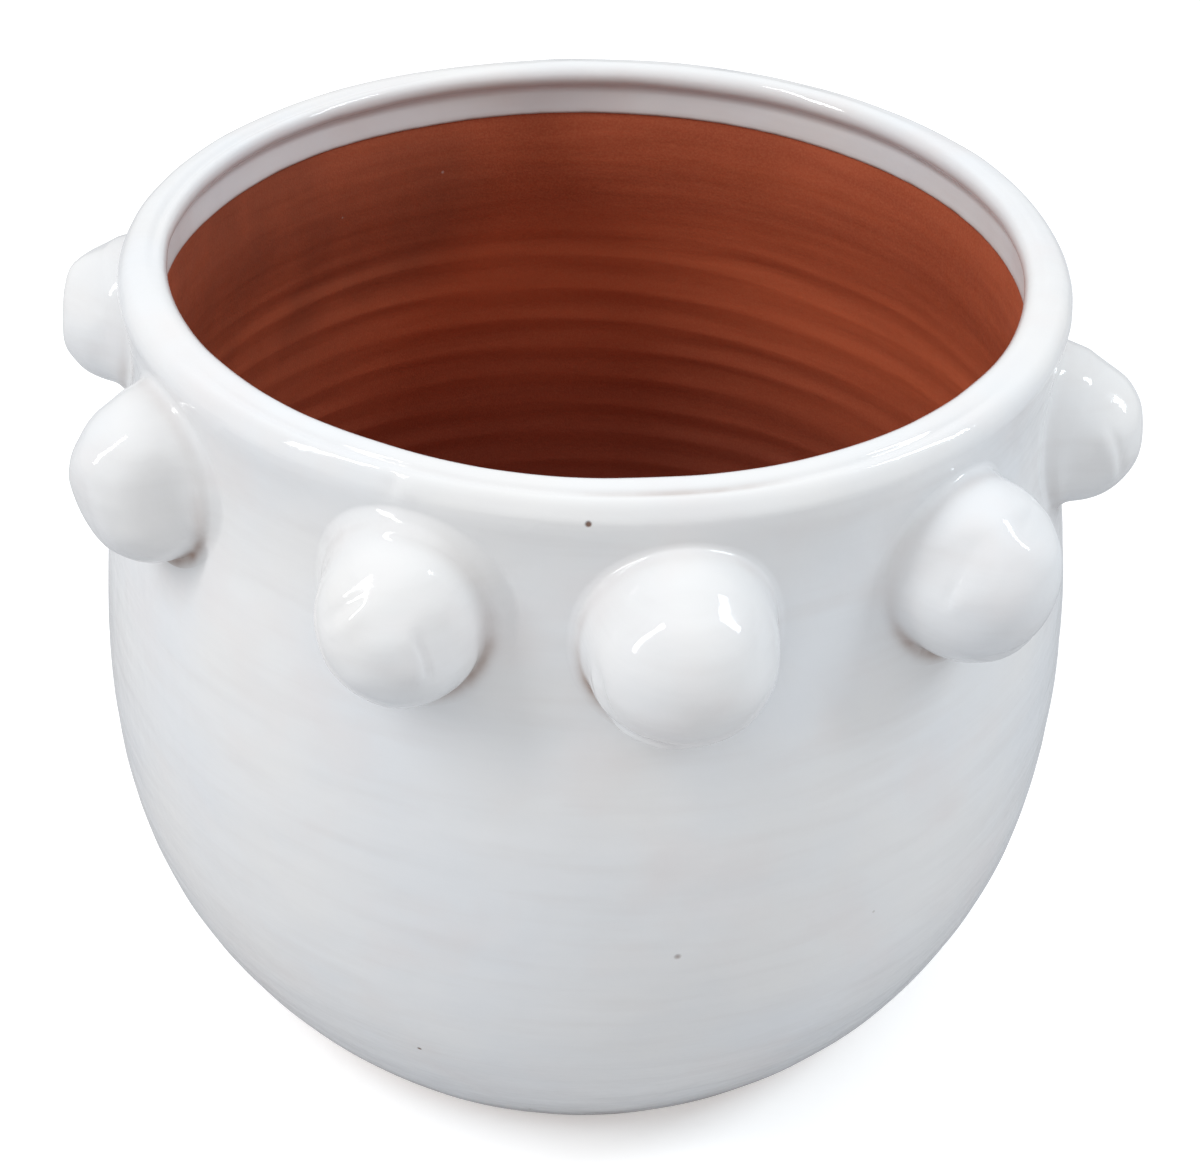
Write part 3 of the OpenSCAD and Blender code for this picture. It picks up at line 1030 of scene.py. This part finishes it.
def white_glaze():
    m = Material("white_glaze", IOR=1.52)
    cloud = m.range(m.noise(70 * MM), 0.35, 0.65)
    colour = m.mix(cloud, COOL_WHITE, WARM_WHITE)
    drag = m.range(m.noise(7 * MM, 5.0, (0.12, 0.12, 1)), 0.5, 0.75, 0.0, 0.22)
    colour = m.mix(drag, colour, DRAG)
    blush = m.range(m.noise(40 * MM, 3.0), 0.52, 0.72, 0.0, 0.35)
    colour = m.mix(blush, colour, BLUSH)
    patchy = m.range(m.noise(12 * MM, 4.0), 0.3, 0.7, 0.35, 1.0)
    # Brown where the glaze is thin at its edges, and painted shade in the creases round the knobs and along
    # the front lip
    colour = m.mix(m.math("MULTIPLY", m.attribute("thin"), patchy), colour, BROWN)
    pinholes = m.math("MAXIMUM", m.specks(42 * MM, 0.8 * MM, 0.06), m.spots(PINHOLES))
    m.put(m.shader, "Base Color", m.mix(pinholes, colour, PINHOLE))
    m.put(m.shader, "Roughness", m.range(m.noise(18 * MM), 0.3, 0.7, 0.05, 0.11))
    m.bump(
        (m.noise(14 * MM, 2.0), 0.3 * MM),
        (m.noise(5 * MM, 3.0, (0.06, 0.06, 1)), 0.10 * MM),
        (m.noise(2.2 * MM, 2.0), 0.015 * MM),
        (pinholes, -0.3 * MM),
    )
    return m.made


def red_clay():
    m = Material("red_clay", IOR=1.45)
    cloud = m.range(m.noise(55 * MM, 4.0), 0.3, 0.7)
    colour = m.mix(cloud, RED, ORANGE)
    bands = m.range(m.noise(7 * MM, 5.0, (0.08, 0.08, 1)), 0.3, 0.7, 0.0, 0.5)
    colour = m.mix(bands, colour, BAND)
    height = m.node("SeparateXYZ", {0: m.where}).outputs[2]
    # Painted light: a paler band over the upper rings inside, where light through the opening falls
    from_below = m.range(height, 0.42 * POT_H, 0.66 * POT_H, 0.0, 0.5)
    from_above = m.range(height, 0.8 * POT_H, 0.7 * POT_H)
    colour = m.mix(m.math("MULTIPLY", from_below, from_above), colour, PAINTED_LIGHT_RINGS)
    # Painted shade, darker in the grooves of the rings
    groove = m.range(m.attribute("groove"), -1.4, 0.2, 0.25, 0.0)
    colour = m.mix(groove, colour, GROOVE_SHADE)
    grains = m.range(m.noise(0.9 * MM, 3.0), 0.35, 0.7, 0.0, 0.3)
    colour = m.mix(grains, colour, GRAIN)
    # Painted shade: darker streaky patches over the left of the inside
    streaky = m.range(m.noise(26 * MM, 3.0, (1, 1, 0.35)), 0.3, 0.7, 0.35, 0.6)
    colour = m.mix(m.math("MULTIPLY", m.spots(SHADE_SMUDGES), streaky), colour, SHADE_SMUDGE)
    # Painted shade, darker towards the bottom of the pot
    colour = m.mix(m.range(height, 0.25 * POT_H, 0.6 * POT_H, 0.6, 0.0), colour, DEPTH_SHADE)
    colour = m.mix(m.range(height, 7.5 * MM, 9.5 * MM, 0.75, 0.0), colour, UNDERSIDE)
    high_up = m.range(height, 0.75 * POT_H, 0.8 * POT_H)
    few = m.math("MULTIPLY", m.specks(34 * MM, 1.0 * MM, 0.04), high_up)
    colour = m.mix(m.math("MAXIMUM", few, m.spots(SPLASHES)), colour, SPLASH)
    m.put(m.shader, "Base Color", colour)
    m.put(m.shader, "Roughness", m.range(m.noise(5 * MM), 0.3, 0.7, 0.62, 0.85))
    m.bump((m.noise(3 * MM, 4.0, (0.1, 0.1, 1)), 0.15 * MM), (m.noise(0.7 * MM, 3.0), 0.08 * MM))
    return m.made


# Studio

# The camera that the photograph's ellipses and knobs give: lens and sensor in
# millimetres, place in metres, and how far it looks down and leans
LENS = 51
SENSOR = 36
CAMERA_AT = (5.1 * MM, -521.7 * MM, 554.8 * MM)
CAMERA_DOWN = math.radians(38.06)
CAMERA_LEAN = math.radians(2.47)


def add_camera():
    data = bpy.data.cameras.new("camera")
    data.lens = LENS
    data.sensor_width = SENSOR
    data.sensor_fit = "HORIZONTAL"
    data.clip_start = 0.01
    made = bpy.data.objects.new("camera", data)
    look = Matrix.Rotation(TURN / 4 - CAMERA_DOWN, 4, "X") @ Matrix.Rotation(CAMERA_LEAN, 4, "Z")
    made.matrix_world = Matrix.Translation(CAMERA_AT) @ look
    bpy.context.scene.collection.objects.link(made)
    bpy.context.scene.camera = made


# Where the lamps look, above the middle of the pot
LAMPS_AIM = Vector((0, 0, 0.2))


def add_lamp(name, at, width, height, power, colour):
    """A soft box that faces the pot."""
    data = bpy.data.lights.new(name, "AREA")
    data.color = colour
    data.shape = "RECTANGLE"
    data.size = width
    data.size_y = height
    data.energy = power
    made = bpy.data.objects.new(name, data)
    made.rotation_euler = (LAMPS_AIM - Vector(at)).to_track_quat("-Z", "Y").to_euler()
    made.location = at
    bpy.context.scene.collection.objects.link(made)


def add_world(level, overhead):
    """Light from all round, stronger from overhead, and seen as white by the camera."""
    world = bpy.data.worlds.new("studio")
    world.use_nodes = True
    bpy.context.scene.world = world
    w = Nodes(world.node_tree)
    height = w.node("SeparateXYZ", {0: w.node("TexCoord").outputs["Generated"]}).outputs[2]
    light = w.range(height, 0.0, 1.0, level, overhead)
    seen = w.node("LightPath").outputs["Is Camera Ray"]
    background = w.tree.nodes["Background"]
    w.put(background, "Color", (1, 1, 1, 1))
    w.put(background, "Strength", w.range(seen, 0.0, 1.0, light, 1.0))


# Half the floor's width in metres, the gap that keeps it apart from the foot,
# and its colours as they light the pot, in patches, and as the camera sees them
FLOOR_HALF = 6.0
FLOOR_GAP = 0.2 * MM
FLOOR_PATCHES = ((0.52, 0.53, 0.55), (0.55, 0.56, 0.58))
FLOOR_SEEN = (0.95, 0.95, 0.95)


def add_floor():
    """A floor that is paler for the camera than for the pot."""
    m = Material("pale_floor", Roughness=0.9, Specular_IOR_Level=0.0)
    seen = m.node("LightPath").outputs["Is Camera Ray"]
    pale = m.mix(m.noise(0.5), *FLOOR_PATCHES)
    m.put(m.shader, "Base Color", m.mix(seen, pale, FLOOR_SEEN))
    m.put(m.shader, "Emission Color", (1, 1, 1, 1))
    m.put(m.shader, "Emission Strength", m.math("MULTIPLY", seen, 0.3))
    mesh = bpy.data.meshes.new("floor")
    ways = [(-1, -1), (1, -1), (1, 1), (-1, 1)]
    corners = [(x * FLOOR_HALF, y * FLOOR_HALF, -FLOOR_GAP) for x, y in ways]
    mesh.from_pydata(corners, [], [(0, 1, 2, 3)])
    mesh.materials.append(m.made)
    floor = bpy.data.objects.new("floor", mesh)
    bpy.context.scene.collection.objects.link(floor)


# The belt, from the knob in front round by the right
KNOBS = [
    Knob(
        "knob_01", 10, 0, 1, shape=(0.98, 0.97, 0.96), tilt=-12, blend=(20, 12, 2.5), collar=(2.6, 1.8, 0.3),
        folds=[((-0.93, 0.2), (-0.77, -0.34), 0.9, 1.6), ((-0.82, -0.45), (-0.15, -0.55), 1.3, 1.3)],
        facets=[((0.8, 0.4, 0.5), 0.94)],
    ),
    Knob(
        "knob_02", 43.2, -1.2, 0.97, shape=(0.92, 1.07, 0.97), tilt=-20, shift=(0.5, 2.0, 0.8),
        blend=(24, 14, 1.2), collar=(4.2, 1.8, 0),
        folds=[
            ((-0.95, 0.1), (-0.45, 0.85), 1.4, 1.8),
            ((0.0, 0.86), (0.45, 0.84), 1.6, 0.9),
            ((-0.5, -0.6), (0.3, -0.4), 0.6, 1.8),
        ],
        facets=[((-0.8, 0.6, 0.15), 0.87), ((0.2, 0.85, 0.5), 0.96)],
    ),
    Knob(
        "knob_03", 78, -4, 0.92, shape=(0.94, 0.98, 0.94), tilt=6, blend=(20, 13, 2.5),
        collar=(2.6, 1.8, 0.3), folds=[((-0.7, 0.6), (-0.62, -0.3), 0.9, 2.0)],
        facets=[((-0.5, 0.8, 0.4), 0.9), ((0.1, 0.1, 1), 0.9)],
    ),
    Knob(
        "knob_04", 117, 1.2, 0.96, tilt=14,
        folds=[((-0.5, -0.5), (0.4, -0.6), 0.9, 1.5)], facets=[((0.5, 0.6, 0.6), 0.9)],
    ),
    Knob(
        "knob_05", 154, -1.8, 0.98, shape=(0.97, 0.93, 0.97), tilt=-18,
        folds=[((0.6, 0.5), (0.7, -0.3), 0.8, 1.6)], facets=[((-0.4, 0.2, 0.9), 0.9)],
    ),
    Knob(
        "knob_06", 192, 0, 0.95, tilt=9, collar=(2.6, 1.9, 0.4),
        folds=[((-0.6, 0.5), (-0.2, -0.5), 0.9, 1.8)], facets=[((0.1, 0.8, 0.6), 0.88)],
    ),
    Knob(
        "knob_07", 230, 1.8, 0.96, tilt=-8, blend=(16, 10, 3),
        folds=[((-0.3, 0.7), (0.5, 0.6), 0.7, 1.5)], facets=[((0.6, -0.1, 0.8), 0.9)],
    ),
    Knob(
        "knob_08", 269, 4.2, 0.9, shape=(1.0, 1.02, 1.0), tilt=-10, blend=(18, 12, 3), collar=(2.4, 2.0, 0.4),
        facets=[((0.1, 0.12, 1), 0.84), ((0.6, 0.7, 0.4), 0.92)],
    ),
    Knob(
        "knob_09", 306, 6, 0.95, shape=(0.88, 1.02, 0.92), tilt=12, shift=(1.5, -1.2, 0), blend=(13, 8, 2.2),
        collar=(3.0, 3.4, 0.4),
        folds=[((0.15, 0.4), (0.1, -0.6), 0.5, 3.0)],
        facets=[((0.93, 0.2, 0.2), 0.78), ((0.1, -0.1, 1), 0.86)],
    ),
    Knob(
        "knob_10", 342.5, 3.6, 0.95, shape=(0.86, 0.96, 0.94), tilt=30, shift=(0, -1.2, 0), blend=(9, 7, 2.0),
        collar=(4.0, 3.4, 0.3),
        folds=[((0.5, 0.55), (0.68, -0.15), 1.3, 1.2), ((-0.6, 0.3), (-0.1, 0.8), 0.8, 2.6)],
        facets=[((0.8, 0.3, 0.5), 0.84)],
    ),
]

glaze_and_knobs(KNOBS, white_glaze())
clay_piece(red_clay())
add_camera()
add_floor()
add_world(level=0.64, overhead=0.86)
add_lamp("window_left", at=(-1.75, -0.65, 1.9), width=0.2, height=1.7, power=23, colour=(1, 1, 1))
add_lamp("window_right", at=(1.75, 0.1, 1.75), width=0.2, height=1.0, power=14, colour=(0.84, 0.93, 1))

bpy.context.scene.view_settings.view_transform = "Standard"
